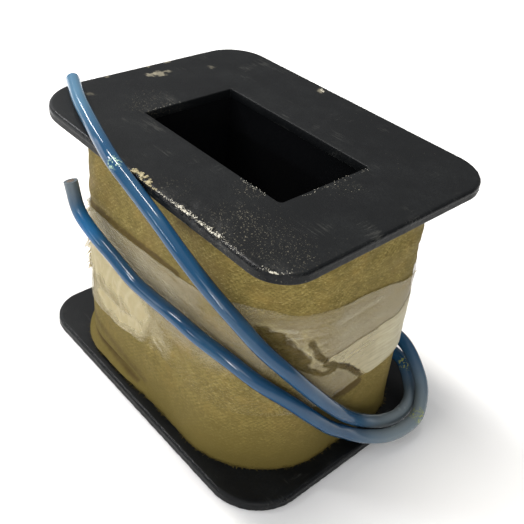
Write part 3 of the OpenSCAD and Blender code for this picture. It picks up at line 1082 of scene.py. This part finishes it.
@dataclass
class TornEdge:
    """Torn board fibre, old glue and grit that stand on the upper flange."""

    flat: float = 0.5
    front: float = -29.45
    hole: tuple[float, float, float] = (3.2, -28.75, 0.55)
    glue: tuple[Trail, ...] = (
        Trail(((-0.6, -29.1), (0.4, -28.5), (2.6, -28.3), (4.4, -28.8)), 0.3, 150, (0.12, 0.38)),
        Trail(((2.0, -29.2), (4.6, -29.3), (7.2, -29.3)), 0.14, 70, (0.08, 0.24)),
    )
    fibre: tuple[Trail, ...] = (
        Trail(((7.0, -29.2), (12.5, -29.0)), 0.2, 55, (0.04, 0.12)),
        Trail(((12.0, -29.0), (17.0, -28.8), (25.2, -28.7)), 0.3, 190, (0.04, 0.15)),
        Trail(((13.5, -29.1), (16.5, -29.1)), 0.12, 30, (0.1, 0.2)),
        Trail(((19.0, -29.1), (24.6, -29.0)), 0.14, 45, (0.1, 0.22)),
        Trail(((25.0, -29.0), (31.0, -29.1)), 0.3, 50, (0.04, 0.09)),
        Trail(((34.6, -28.6), (36.5, -28.0), (38.1, -26.6), (38.0, -25.0)), 0.35, 34, (0.04, 0.13)),
        Trail(((36.2, -28.3), (37.2, -27.8)), 0.1, 16, (0.1, 0.2)),
        Trail(((12.5, -14.1), (19.0, -13.9)), 0.25, 36, (0.04, 0.1)),
        Trail(((-19.6, -13.0), (-19.7, -4.0)), 0.2, 20, (0.04, 0.09)),
        Trail(((23.0, -9.0), (23.2, 9.5)), 0.3, 40, (0.04, 0.1)),
        Trail(((-8.5, 27.6), (-6.8, 27.2)), 0.2, 20, (0.08, 0.2)),
    )

    def build(self) -> None:
        """Makes the crumbs of glue and of torn fibre, the fibre's pale colour partly painted glints."""
        glue = GrainFinish("old_glue", tint(104, 96, 68), tint(196, 184, 146), 1.6, roughness=0.55)
        # Pale fibre crumbs: torn board fibre, partly painted glints along the torn edge.
        fibre = GrainFinish("torn_board_fibre_and_glints", tint(150, 144, 124), tint(236, 232, 218), 2.2, roughness=0.5)
        self.scatter("upper_flange_glue", self.glue, 5).done(glue.make(), "flange_board")
        self.scatter("upper_flange_torn_fibre_and_glints", self.fibre, 6).done(fibre.make(), "flange_board")

    def scatter(self, name: str, trails: Sequence[Trail], seed: int) -> Piece:
        """Scatters crumbs along trails.

        Args:
            name: The piece's name.
            trails: Where they lie.
            seed: Seed of their places and sizes.

        Returns:
            The crumbs as one piece.
        """
        rng = Random(seed)
        piece = Piece(name)
        for trail in trails:
            for _ in range(trail.count):
                share = rng.random() * (len(trail.path) - 1)
                first = int(share)
                at = Vector(trail.path[first]).lerp(Vector(trail.path[first + 1]), share - first)
                at += Vector((rng.gauss(0, trail.width), rng.gauss(0, trail.width)))
                size = rng.uniform(*trail.size)
                if (at - Vector(self.hole[:2])).length < self.hole[2] + size * 0.5 or at.y < self.front:
                    continue
                turn = Matrix.Rotation(rng.uniform(0, math.tau), 4, "Z")
                turn = turn @ Matrix.Rotation(rng.uniform(-0.5, 0.5), 4, "X")
                shape = Matrix.Diagonal((size, size * rng.uniform(0.4, 0.9), size * self.flat, 1))
                place = Matrix.Translation((at.x, at.y, FLANGE_TOP + size * self.flat * 0.4))
                made = bmesh.ops.create_icosphere(piece.bm, subdivisions=1, radius=1.0, matrix=place @ turn @ shape)
                for vert in made["verts"]:
                    vert.co += Vector((rng.uniform(-1, 1), rng.uniform(-1, 1), rng.uniform(-1, 1))) * size * 0.18
        return piece


# ---------------------------------------------------------------- the wrap


@dataclass
class WrapSurface:
    """The outside of the cloth, which the clear tape follows."""

    outline: Outline
    low: float
    high: float
    swell: float = 0.22
    ripple: float = 0.08
    ribs: float = 0.05
    fan: float = 0.32
    crease: float = 0.4
    fold: float = 0.25
    hem: float = 1.2
    groove: float = 0.6
    flare: float = 0.2
    tuck: float = 0.35

    def relief(self, at: Station, height: float) -> float:
        """Gives how far the cloth stands proud of its plain outline.

        Args:
            at: The place round the wrap.
            height: The height in millimetres.

        Returns:
            The distance outwards, in millimetres.
        """
        along = signed(at.along)
        point = Vector((at.point.x, at.point.y, height))
        relief = self.swell * noise.noise(point / 13) + self.ripple * noise.noise(point / 4.5)
        rib = noise.noise(Vector((at.point.x * 0.06, at.point.y * 0.06, height * 0.55)))
        right = ease(25, 60, along) * (1 - ease(96, 104, along))
        relief += (self.ribs + self.fan * right * ease(38, 46, height)) * rib
        left = ease(-45, -20, along) * (1 - ease(10, 30, along))
        crease = UPPER_EDGE.at(at.along) + 1.3
        relief -= self.crease * left * hump(crease, 0.8, height)
        relief += self.fold * left * hump(crease + 2.4, 1.4, height)
        hemmed = ease(-40, -30, along) * (1 - ease(8, 20, along))
        roll, groove = hump(self.low + 1.3, 1.0, height), hump(self.low + 3.1, 0.7, height)
        relief += hemmed * (self.hem * roll - self.groove * groove)
        relief += self.flare * (1 - ease(self.low, self.low + 2.2, height)) * (1 + noise.noise(point / 1.6))
        return relief - self.tuck * ease(self.high - 3, self.high, height)

    def point(self, at: Station, height: float, lift: float = 0.0) -> Vector:
        """Gives a point on the cloth, or lifted off it."""
        flat = at.point + at.out * (self.relief(at, height) + lift)
        return Vector((flat.x, flat.y, height))


# How far it is once round the wrap, and the heights of the clear tape's two edges along it.
ROUND = 207.7
UPPER_EDGE = Line(
    ((-24, 40.2), (-6.7, 40.5), (-0.5, 41.7), (7.5, 41.4), (17.9, 42.1), (26.2, 42.9), (33.9, 43.9),
     (42.9, 45.2), (48, 45), (53.2, 43.8), (59, 43.8), (67.1, 43.2), (74.4, 42.6), (82.9, 40.8),
     (100, 41.5), (140, 42.5), (165, 41)),
    ROUND,
)
LOWER_EDGE = Line(
    ((-24, 16.4), (-3.6, 15.6), (6.5, 15.6), (12.5, 16.8), (18.5, 18.5), (40, 18), (60, 18.8),
     (74, 19.9), (77, 20.7), (82, 20.9), (100, 19.4), (140, 18.6), (165, 17)),
    ROUND,
)

# Marks on the unrolled wrap, by distance from the start of its front side and by height.
# Cloth marks, all darkened with one brown: the first two are painted shade in the crease above the clear tape's
# upper edge, the third is painted shade in the groove above the hem, the fourth is a real stain, the fifth is
# painted shade under the upper flange, and the last is a darker smear low on the front.
CLOTH_STAINS_AND_SHADE = (
    Mark(((-44, 42.0), (-34, 41.6), (-24, 40.7)), 0.3, 1.4, 0.45),
    Mark(((-24, 40.7), (-6.7, 41.0), (-0.5, 42.2), (7.5, 41.9), (17.9, 42.6), (27, 43.4)), 0.6, 1.2, 1.0),
    Mark(((-40, 5.4), (-20, 5.4), (0, 5.2), (14, 4.6)), 0.4, 0.8, 0.95),
    Mark(((66.0, 18.5), (69.0, 17.4), (72.5, 17.8)), 1.2, 1.2),
    Mark(((27.0, 55.0), (34.0, 56.5)), 1.5, 2.5, 0.7),
    Mark(((-14.0, 12.0), (2.0, 9.0), (16.0, 6.5)), 1.5, 2.5, 0.6),
)
TAPE_MARKS = {
    WET: (
        Mark(((46.9, 40.0), (49.5, 38.0), (52.3, 35.2), (55.5, 32.2)), 2.2, 2.0, 0.75),
        Mark(((54.6, 40.0), (55.4, 38.4), (56.6, 36.4)), 0.5, 2.0, 0.52),
        Mark(((56.4, 36.8), (57.6, 34.6), (58.8, 32.6), (60.4, 31.1)), 0.8, 1.6, 0.82),
        Mark(((60.6, 29.8), (64.1, 27.8), (67.7, 25.2), (70.8, 22.0), (73.0, 18.9)), 0.8, 1.1, 0.85),
        Mark(((55.4, 30.9), (57.3, 29.5), (59.8, 27.7), (61.5, 27.5), (63.2, 27.4)), 0.6, 0.7),
    ),
    CREAM: (
        Mark(((-8.0, 29.0), (0.0, 29.0), (9.0, 28.0), (14.0, 26.0)), 5.0, 4.5),
        Mark(((0.0, 20.0), (8.0, 19.0), (14.0, 21.0)), 2.5, 3.0),
        Mark(((12.0, 25.0), (17.0, 25.0), (22.0, 24.0)), 4.0, 4.5, 0.5),
    ),
    CURL: (
        Mark(((-3.5, 30.0), (-2.4, 25.6), (-0.9, 22.8), (-0.5, 21.5)), 0.3, 0.7),
        Mark(((8.6, 31.0), (7.4, 28.2), (6.5, 25.2), (6.7, 23.2), (8.6, 20.6)), 0.4, 1.1, 0.9),
        Mark(((12.4, 30.0), (10.4, 27.0), (9.1, 24.5), (9.4, 22.0)), 0.4, 1.1, 0.8),
        Mark(((21.8, 28.6), (20.4, 26.4), (19.8, 24.0), (20.2, 21.4), (22.4, 20.3)), 0.4, 1.1, 0.7),
        Mark(((4.4, 31.5), (2.7, 28.0), (2.0, 24.0), (3.0, 21.4)), 0.4, 1.2, 0.8),
        Mark(((15.0, 28.0), (13.4, 25.4), (13.2, 22.6), (14.9, 20.4)), 0.4, 1.1, 0.7),
        Mark(((18.0, 26.5), (16.4, 24.0), (16.6, 21.0)), 0.4, 1.1, 0.6),
        Mark(((17.6, 27.3), (19.0, 27.0)), 0.5, 0.6, 0.6),
        Mark(((-1.4, 20.6), (0.6, 18.6), (2.4, 17.2), (5.8, 16.0), (10.7, 16.9), (14.0, 18.0)), 0.25, 0.5, 0.8),
    ),
    PALE: (
        Mark(((63.0, 32.0), (69.1, 32.0), (90.0, 31.0), (90.0, 36.5), (62.0, 38.0)), 0.0, 2.5, 0.25, True),
        Mark(((74.0, 18.0), (92.0, 18.0), (96.0, 33.0), (84.0, 37.0), (76.0, 31.0)), 0.0, 5.0, 0.7, True),
        Mark(((47.9, 40.1), (50.5, 40.5), (53.3, 40.0)), 0.3, 0.4, 0.6),
        Mark(((54.2, 38.5), (51.7, 38.3), (51.9, 37.3), (54.5, 35.9), (56.2, 34.1), (58.1, 31.8)), 0.2, 0.4, 0.7),
        Mark(((62.0, 39.5), (74.0, 40.0)), 0.6, 0.8, 0.4),
        Mark(((-16.0, 36.5), (0.0, 37.5), (16.0, 38.0), (26.0, 38.5)), 2.5, 2.5, 0.28),
    ),
    BARE: (
        Mark(((19.0, 20.0), (28.0, 21.0), (40.0, 22.0), (50.0, 23.0)), 6.5, 3.0, 0.95),
        Mark(((60.0, 45.0), (46.0, 44.0), (36.0, 42.0)), 3.0, 3.0, 0.5),
    ),
}


def signed(along: float) -> float:
    """Turns a distance round the wrap into one from -ROUND / 3 to 2 / 3 of ROUND."""
    return along if along < ROUND * 2 / 3 else along - ROUND


@dataclass
class ClothWrap:
    """The cotton tape over the winding, with its hem and frayed lower edge."""

    surface: WrapSurface
    finish: ClothFinish
    wall: float = 1.0
    step: float = 0.5
    fibres: int = 700
    reach: tuple[float, float] = (0.5, 1.3)

    def build(self) -> None:
        """Makes the wrap and its frayed edge."""
        cloth = self.finish.make()
        self.skin().done(cloth, "cloth_tape", ["cloth_wrap"])
        self.fray().done(cloth, "cloth_tape")

    def skin(self) -> Piece:
        """Makes the closed wall of cloth.

        Returns:
            The wall as a piece.
        """
        stations = self.surface.outline.spaced(self.step)
        low, high = self.surface.low, self.surface.high
        count = round((high - low) / self.step)
        outside = [low + (high - low) * k / count for k in range(count + 1)]
        inside = [high, (low + high) / 2, low]
        rows = [(0.0, z) for z in outside] + [(self.wall, z) for z in inside]
        piece = Piece("cloth_wrap_skin")

        def place(col: int, row: int) -> Vector:
            """Puts one vertex in its place."""
            at = stations[col % (len(stations) - 1)]
            depth, height = rows[row % len(rows)]
            if depth:
                flat = at.point - at.out * depth
                return Vector((flat.x, flat.y, height))
            return self.surface.point(at, height)

        def unwrap(col: float, row: float) -> tuple[float, float]:
            """Unrolls the cloth flat, in millimetres."""
            return stations[round(col)].along, rows[round(row) % len(rows)][1]

        # The stain value carries real stains and painted shade.
        piece.layer(STAIN_AND_SHADE)
        stain = {STAIN_AND_SHADE: lambda along, height: strongest(CLOTH_STAINS_AND_SHADE, signed(along), height)}
        rolled(piece.bm, len(stations) - 1, len(rows), place, unwrap, stain)
        return piece

    def fray(self) -> Piece:
        """Makes the loose fibres along the lower edge.

        Returns:
            The fibres as one piece.
        """
        rng = Random(11)
        stations = self.surface.outline.spaced(0.3)
        piece = Piece("cloth_wrap_fray")
        for _ in range(self.fibres):
            at = rng.choice(stations)
            height = self.surface.low + 0.15 + rng.random() * 0.5
            root = self.surface.point(at, height, -0.25)
            lean = Vector((at.out.x, at.out.y, rng.uniform(-0.1, 0.5)))
            side = Vector((-at.out.y, at.out.x, 0)) * rng.uniform(-1.0, 1.0)
            aim = (lean + side).normalized()
            reach = rng.uniform(*self.reach)
            turn = aim.to_track_quat("Z", "Y").to_matrix().to_4x4()
            bmesh.ops.create_cone(
                piece.bm, cap_ends=True, segments=4, radius1=0.06, radius2=0.02, depth=reach,
                matrix=Matrix.Translation(root + aim * reach / 2) @ turn,
            )
        return piece


@dataclass(frozen=True)
class TornZone:
    """A stretch of the wrap where the tape is torn: its span, its heights and its flakes."""

    start: float
    stop: float
    low: float
    high: float
    count: int


@dataclass
class ClearTape:
    """The clear tape: a full turn round the cloth and a second lap over the right end."""

    surface: WrapSurface
    turn_finish: ClearTapeFinish
    lap_finish: ClearTapeFinish
    thickness: float = 0.1
    step: float = 0.5
    rows: int = 52
    gap: float = 0.08
    curl: float = 0.4
    sag: float = 0.35
    ripple: float = 0.05
    lap_gap: float = 0.14
    jag: float = 0.12
    torn: tuple[TornZone, ...] = (
        TornZone(193.5, 197.5, 18, 38, 34), TornZone(193.5, 197.5, 23, 33, 10), TornZone(88.5, 92.5, 22, 37, 14),
    )

    def build(self) -> None:
        """Makes both lengths of tape and the flakes torn off them."""
        film = self.turn_finish.make()
        self.turn().done(film, "clear_tape", ["clear_tape_turn"])
        self.flakes().done(film, "clear_tape")
        self.lap().done(self.lap_finish.make(), "clear_tape", ["clear_tape_lap"])

    def flakes(self) -> Piece:
        """Makes the torn flakes that curl off the tape at its two ends.

        Returns:
            The flakes as one piece.
        """
        rng = Random(23)
        piece = Piece("clear_tape_flakes")
        piece.layer(*TAPE_MARKS)
        piece.bm.loops.layers.uv.new(SURFACE_UV)
        stations = self.surface.outline.spaced(0.4)
        for zone in self.torn:
            places = [s for s in stations if zone.start < s.along < zone.stop]
            for _ in range(zone.count):
                at, height = rng.choice(places), rng.uniform(zone.low, zone.high)
                self.flake(piece.bm, rng, at, height)
        bmesh.ops.recalc_face_normals(piece.bm, faces=piece.bm.faces)
        bmesh.ops.solidify(piece.bm, geom=piece.bm.faces[:], thickness=self.thickness * 0.6)
        return piece

    def flake(self, bm: bmesh.types.BMesh, rng: Random, at: Station, height: float) -> None:
        """Adds one flake, a tapered strip that curls away from the tape.

        Args:
            bm: The mesh to add to.
            rng: Source of its size and direction.
            at: Where it is rooted round the wrap.
            height: The height of its root, in millimetres.
        """
        length, width, lift = rng.uniform(1.2, 3.4), rng.uniform(0.9, 2.2), rng.uniform(0.2, 1.2)
        turned = rng.uniform(-0.6, 0.6)
        side, up = Vector((-at.out.y, at.out.x, 0)), Vector((0, 0, 1))
        run = side * math.cos(turned) + up * math.sin(turned)
        across = side * -math.sin(turned) + up * math.cos(turned)
        root = self.surface.point(at, height, 0.12)
        made = bmesh.ops.create_grid(bm, x_segments=7, y_segments=4, size=0.5)["verts"]
        cream, curled = (bm.verts.layers.float[name] for name in (CREAM, CURL))
        for vert in made:
            share, wide = vert.co.x + 0.5, vert.co.y
            ragged = 1 + 0.5 * noise.noise(Vector((share * 5, wide * 5, height)))
            taper = (1 - 0.75 * share**2) * ragged
            curl = lift * share**1.6
            vert.co = root + run * length * share + across * width * wide * taper + at.out.to_3d() * curl
            vert[cream], vert[curled] = 1.0, 0.5
        uv = bm.loops.layers.uv[SURFACE_UV]
        for face in {face for vert in made for face in vert.link_faces}:
            for loop in face.loops:
                loop[uv].uv = (at.along, loop.vert.co.z)

    def ruck(self, at: Station, height: float) -> float:
        """Gives how far the full turn stands off the cloth.

        Args:
            at: The place round the wrap.
            height: The height in millimetres.

        Returns:
            The gap in millimetres.
        """
        along = signed(at.along)
        point = Vector((at.point.x, at.point.y, height))
        curls = ease(-26, -14, along) * (1 - ease(12, 22, along)) * (1 - ease(26, 38, height))
        fold = abs(noise.noise(point / 3.2)) + 0.5 * abs(noise.noise(point / 1.5))
        loose = ease(48, 62, along) * (1 - ease(84, 96, along))
        slack = 0.5 + 0.5 * noise.noise(point / 6)
        stray = self.ripple * (1 + noise.noise(point / 2))
        return self.gap + self.curl * curls * fold + self.sag * loose * slack + stray

    def turn(self) -> Piece:
        """Makes the full turn as a closed band.

        Returns:
            The band as a piece.
        """
        stations = self.surface.outline.spaced(self.step)
        return self.band("clear_tape_full_turn", stations, True, UPPER_EDGE, LOWER_EDGE, self.ruck)

    def lap(self) -> Piece:
        """Makes the second lap, round the right end.

        Returns:
            The lap as a piece.
        """
        stations = self.surface.outline.spaced(self.step)
        part = [s for s in stations if 60 < s.along < 116]
        upper = Line(((60, 31.2), (64, 31.4), (72, 32.0), (79, 32.6), (85, 34.6), (90, 34.0), (116, 36.0)), ROUND)
        lower = Line(
            ((60, 31.0), (62, 30.4), (65, 27.9), (68, 25.2), (71.5, 22.0), (74.5, 19.8), (84, 20.8), (116, 21.0)),
            ROUND,
        )

        def lift(at: Station, height: float) -> float:
            """Keeps the lap outside the full turn."""
            return self.ruck(at, height) + self.lap_gap

        return self.band("clear_tape_second_lap", part, False, upper, lower, lift)

    def band(
        self, name: str, stations: list[Station], closed: bool, upper: Line, lower: Line,
        lift: Callable[[Station, float], float],
    ) -> Piece:
        """Makes a length of tape with two faces.

        Args:
            name: The piece's name.
            stations: Places along it.
            closed: It goes all the way round.
            upper: Its upper edge.
            lower: Its lower edge.
            lift: How far it stands off the cloth.

        Returns:
            The tape as a piece.
        """
        piece = Piece(name)
        shares = [k / self.rows for k in range(self.rows + 1)]
        rows = [(1.0, s) for s in shares] + [(0.0, s) for s in reversed(shares)]

        def place(col: int, row: int) -> Vector:
            """Puts one vertex in its place."""
            at = stations[col % (len(stations) - 1)] if closed else stations[col]
            side, share = rows[row % len(rows)]
            jag = self.jag * noise.noise(Vector((at.along * 1.1, share * 3, 4)))
            low, high = lower.at(at.along) + jag, upper.at(at.along) + jag
            height = low + (high - low) * share
            return self.surface.point(at, height, lift(at, height) + side * self.thickness)

        def unwrap(col: float, row: float) -> tuple[float, float]:
            """Unrolls the tape flat, in millimetres."""
            at = stations[round(col)].along
            share = rows[round(row) % len(rows)][1]
            return at, lower.at(at) + (upper.at(at) - lower.at(at)) * share

        piece.layer(*TAPE_MARKS)
        levels = {
            name: lambda along, height, marks=marks: strongest(marks, signed(along), height)
            for name, marks in TAPE_MARKS.items()
        }
        rolled(piece.bm, len(stations) - 1, len(rows), place, unwrap, levels)
        if not closed:
            capped(piece.bm)
        return piece


@dataclass
class SplicePatch:
    """The folded patch of cloth over the two splices on the back.

    It stands over the two leads' tails, bridges the valley between them, and covers the wires
    that rise into it at its far end.
    """

    finish: ClothFinish
    heights: tuple[float, float] = (8.5, 13.6)
    axis: float = 24.65
    radius: float = 2.3
    bridge: float = 1.9
    shoulder: float = 2.4
    riser: float = -7.0
    riser_cover: float = 1.1
    skirt: float = 0.15
    flap: float = 0.6
    backing: float = 0.6
    columns: int = 110
    half: int = 56

    def bulge(self, x: float, z: float) -> float:
        """Gives how far the cloth stands out from the leads' axis.

        Args:
            x: Place along the patch, in millimetres.
            z: Height, in millimetres.

        Returns:
            The distance in millimetres.
        """
        lower, upper = self.heights
        over = max(math.sqrt(max(0.0, self.radius**2 - (z - h) ** 2)) for h in self.heights)
        bridge = ease(lower - self.shoulder, lower, z) * (1 - ease(upper, upper + self.shoulder, z))
        riser = hump(self.riser, 2.0, x) * (1 - ease(upper + 0.8, upper + self.shoulder, z))
        return max(over, self.bridge * bridge, self.riser_cover * riser)

    def build(self) -> None:
        """Makes the patch in place of its CAD node."""
        low, high = (Vector(v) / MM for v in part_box("splice_cover"))
        back = low.y
        piece = Piece("splice_patch_cloth")
        cols, half = self.columns, self.half
        lower, upper = low.z + 0.05, high.z + self.flap

        def place(col: int, row: int) -> Vector:
            """Puts one vertex in its place."""
            x = low.x + (high.x - low.x) * col / cols
            front = row <= half
            share = row / half if front else (2 * half + 1 - row) / half
            z = lower + (upper - lower) * max(0.0, share)
            if not front:
                return Vector((x, back - self.backing, z))
            ends = ease(low.x, low.x + 1.1, x)
            edge = 1 - ease(high.z - 0.4, upper, z)
            wave = 0.2 * noise.noise(Vector((x / 3, z / 3, 1)))
            stand = (self.axis - back + self.bulge(x, z) - self.skirt) * ends * edge + wave * ends
            return Vector((x, min(high.y, back + self.skirt + stand), z))

        rolled(piece.bm, cols, 2 * half + 2, place, lambda c, r: (c / cols * 31, r / half * 15))
        capped(piece.bm)
        piece.done(self.finish.make(), "cloth_tape", ["splice_cover"])


# ---------------------------------------------------------------- the inner parts


def dress(nodes: Sequence[str], material: bpy.types.Material) -> None:
    """Gives CAD nodes their finish.

    Args:
        nodes: Their names.
        material: The finish.
    """
    for name in nodes:
        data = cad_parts[name].data
        data.materials.clear()
        data.materials.append(material)
    LOG.info("%s on %s", material.name, ", ".join(nodes))


def dress_inner_parts(copper: bpy.types.Material) -> None:
    """Dresses the CAD nodes that stay as they are.

    Args:
        copper: The finish of the stranded cores.
    """
    walls = [f"tube_wall_{side}" for side in ("front", "back", "left", "right")]
    papers = ["tube_paper", "barrier_paper", *(f"layer_paper_{i}" for i in range(1, 7))]
    # The tube walls are near black: painted shade in the deep window round the core.
    dress(walls, GrainFinish("tube_board", tint(1, 2, 4), tint(3, 4, 6), roughness=0.9, shine=0.1).make())
    dress(papers, GrainFinish("insulating_paper", tint(146, 118, 76), tint(176, 148, 104), 0.9, (1, 1, 0.3)).make())
    cheeks = GrainFinish("cheek_board", tint(116, 88, 54), tint(142, 112, 72), 1.2)
    dress(["upper_cheek", "lower_cheek"], cheeks.make())
    dress([f"winding_layer_{i}" for i in range(1, 8)], WireFinish("winding_copper").make())
    enamel = GrainFinish("bare_wire_enamel", tint(120, 52, 20), tint(176, 92, 42), 0.8, roughness=0.25, metallic=0.7)
    solder = GrainFinish("soft_solder", tint(150, 152, 156), tint(196, 198, 202), 1.5, roughness=0.35, metallic=1.0)
    sleeving = GrainFinish("glass_sleeving", tint(196, 186, 158), tint(226, 218, 196), 2.0, (0.4, 2, 2))
    tail = LeadFinish("lead_tail_insulation")
    pairs = {
        "wire": enamel.make(), "splice": solder.make(), "sleeve": sleeving.make(), "core": copper,
        "lead_tail": tail.make(),
    }
    for part, material in pairs.items():
        dress([f"{end.value}_{part}" for end in LeadName], material)


# ---------------------------------------------------------------- the whole coil


# Worn places on the upper flange: x, y, reach, and how deep or how strong.
CHIPS = ((9, -29.4, 3.4, 0.35), (15, -29.4, 5, 0.5), (22, -29.4, 5, 0.5), (36.5, -28.0, 3.2, 0.45))
PATCHES = (
    (-34.6, -1.6, 0.9, 0.5), (-34.4, 0.6, 1.1, 0.5), (-34.6, 3.4, 0.6, 0.4), (-39.6, 1.2, 0.7, 0.6),
    (-39.4, 6, 0.7, 0.5), (-39.5, -10.4, 0.5, 0.4), (-32.8, -18.4, 0.5, 0.2), (-31.4, 13.4, 0.4, 0.2),
    (-7.6, 27.4, 0.7, 0.5),
)
GRIT = (
    (24, -25, 9.0, 0.13), (33, -23, 8.0, 0.12), (8, -28, 7.0, 0.1), (16, -15, 4.0, 0.12), (25, 0, 4.0, 0.1),
    (-22, -10, 7.0, 0.11),
)


def on_top(places: Sequence[tuple[float, float, float, float]]) -> tuple[tuple[Point, float, float], ...]:
    """Puts worn places on the upper flange's top face."""
    return tuple(((x, y, FLANGE_TOP), reach, level) for x, y, reach, level in places)


def build_leads(copper: bpy.types.Material) -> None:
    """Makes the two free leads, dusty and with painted sheen where they lie low, and faded towards their cut ends.

    Args:
        copper: The finish of their strands.
    """
    # The colour of the low loops: dust and painted sheen.
    dust_and_sheen_grey, sky_blue = tint(122, 132, 134), tint(104, 146, 172)
    brown_grey, saturated_blue = tint(112, 112, 100), tint(18, 100, 156)
    pale_green, yellow_green = tint(170, 200, 176), tint(150, 156, 84)
    start = LeadFinish(
        "start_lead_blue",
        dabs=(((-2.6, -31.6, 62.6), 1.3, pale_green), ((33, 24, 8.5), 1.6, yellow_green)),
        dull_and_sheen=(((40, 13, 4), 9.0, 0.75, dust_and_sheen_grey), ((-37, -20, 62.5), 19.0, 0.42, sky_blue)),
    )
    finish = LeadFinish(
        "finish_lead_blue",
        dabs=(((43.5, 16, 5.5), 1.8, yellow_green),),
        dull_and_sheen=(
            ((43, 13, 4.7), 11.0, 0.75, dust_and_sheen_grey),
            ((-20.5, -31, 51), 5.0, 0.5, brown_grey),
            # A brighter, more saturated blue patch on the finish lead's upper part.
            ((-15.5, -30, 41), 3.4, 0.55, saturated_blue),
        ),
    )
    Lead(LeadName.START, START_ROUTE, START_LENGTH, start).build(copper)
    Lead(LeadName.FINISH, FINISH_ROUTE, FINISH_LENGTH, finish).build(copper)


def build_former() -> None:
    """Makes the two flanges and what is torn or stuck along the upper one."""
    upper = BoardFinish("upper_flange_black", grit=on_top(GRIT), patches=on_top(PATCHES))
    Flange("upper_flange", (12, 7.6, 9.6, 9.6), upper, on_top(CHIPS)).build()
    Flange("lower_flange", (9, 12, 9.6, 9.6), BoardFinish("lower_flange_black"), roughness=0.1).build()
    TornEdge().build()


def build_wrap() -> None:
    """Makes the cloth, the two lengths of clear tape and the patch on the back."""
    low, high = (Vector(v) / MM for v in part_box("cloth_wrap"))
    outline = Outline(low.xy[:], high.xy[:], (15.92, 19.84, 13.12, 13.68))
    surface = WrapSurface(outline, low.z, high.z)
    ClothWrap(surface, ClothFinish("cotton_tape")).build()
    turn = ClearTapeFinish("clear_tape_turn_film")
    lap = ClearTapeFinish("clear_tape_lap_film", haze=tint(206, 195, 158), hazed=0.36)
    ClearTape(surface, turn, lap).build()
    SplicePatch(ClothFinish("cotton_patch")).build()


def main() -> None:
    """Builds the pieces in order."""
    logging.basicConfig(level=logging.INFO, format="%(name)s: %(message)s")
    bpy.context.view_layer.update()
    Studio().build()
    copper = GrainFinish(
        "stranded_copper", tint(88, 74, 62), tint(134, 112, 92), 3.0, roughness=0.5, metallic=0.6
    ).make()
    build_leads(copper)
    build_former()
    build_wrap()
    dress_inner_parts(copper)


if __name__ == "__main__":
    main()
